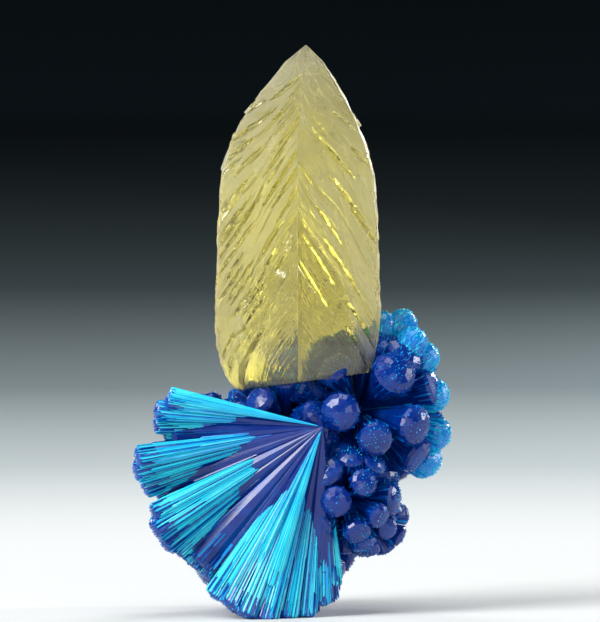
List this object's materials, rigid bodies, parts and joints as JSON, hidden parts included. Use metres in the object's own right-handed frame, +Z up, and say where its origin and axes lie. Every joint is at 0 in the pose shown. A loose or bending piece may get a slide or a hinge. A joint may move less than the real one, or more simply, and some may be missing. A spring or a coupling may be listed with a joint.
{
  "type": "calcite on cavansite",
  "caption": "Pointed, ledged, honey-yellow calcite crystal standing on a mass of blue cavansite rosettes with a broken-open fan in front, cut flat to rest on.",
  "frame": {"origin": "middle of the specimen's box, on the flat cut under the cavansite", "axes": "+Z up along the calcite crystal, +Y to the back, +X to the right seen from the front"},
  "size_m": [0.018, 0.0128, 0.032],
  "materials": {
    "calcite": "clear honey-yellow crystal, frosted and striated on its faces",
    "cavansite": "vivid blue radiating blades, glassy along their length"
  },
  "bodies": {
    "root": {"calcite_crystal": "calcite", "cavansite": "cavansite"}
  },
  "joints": []
}
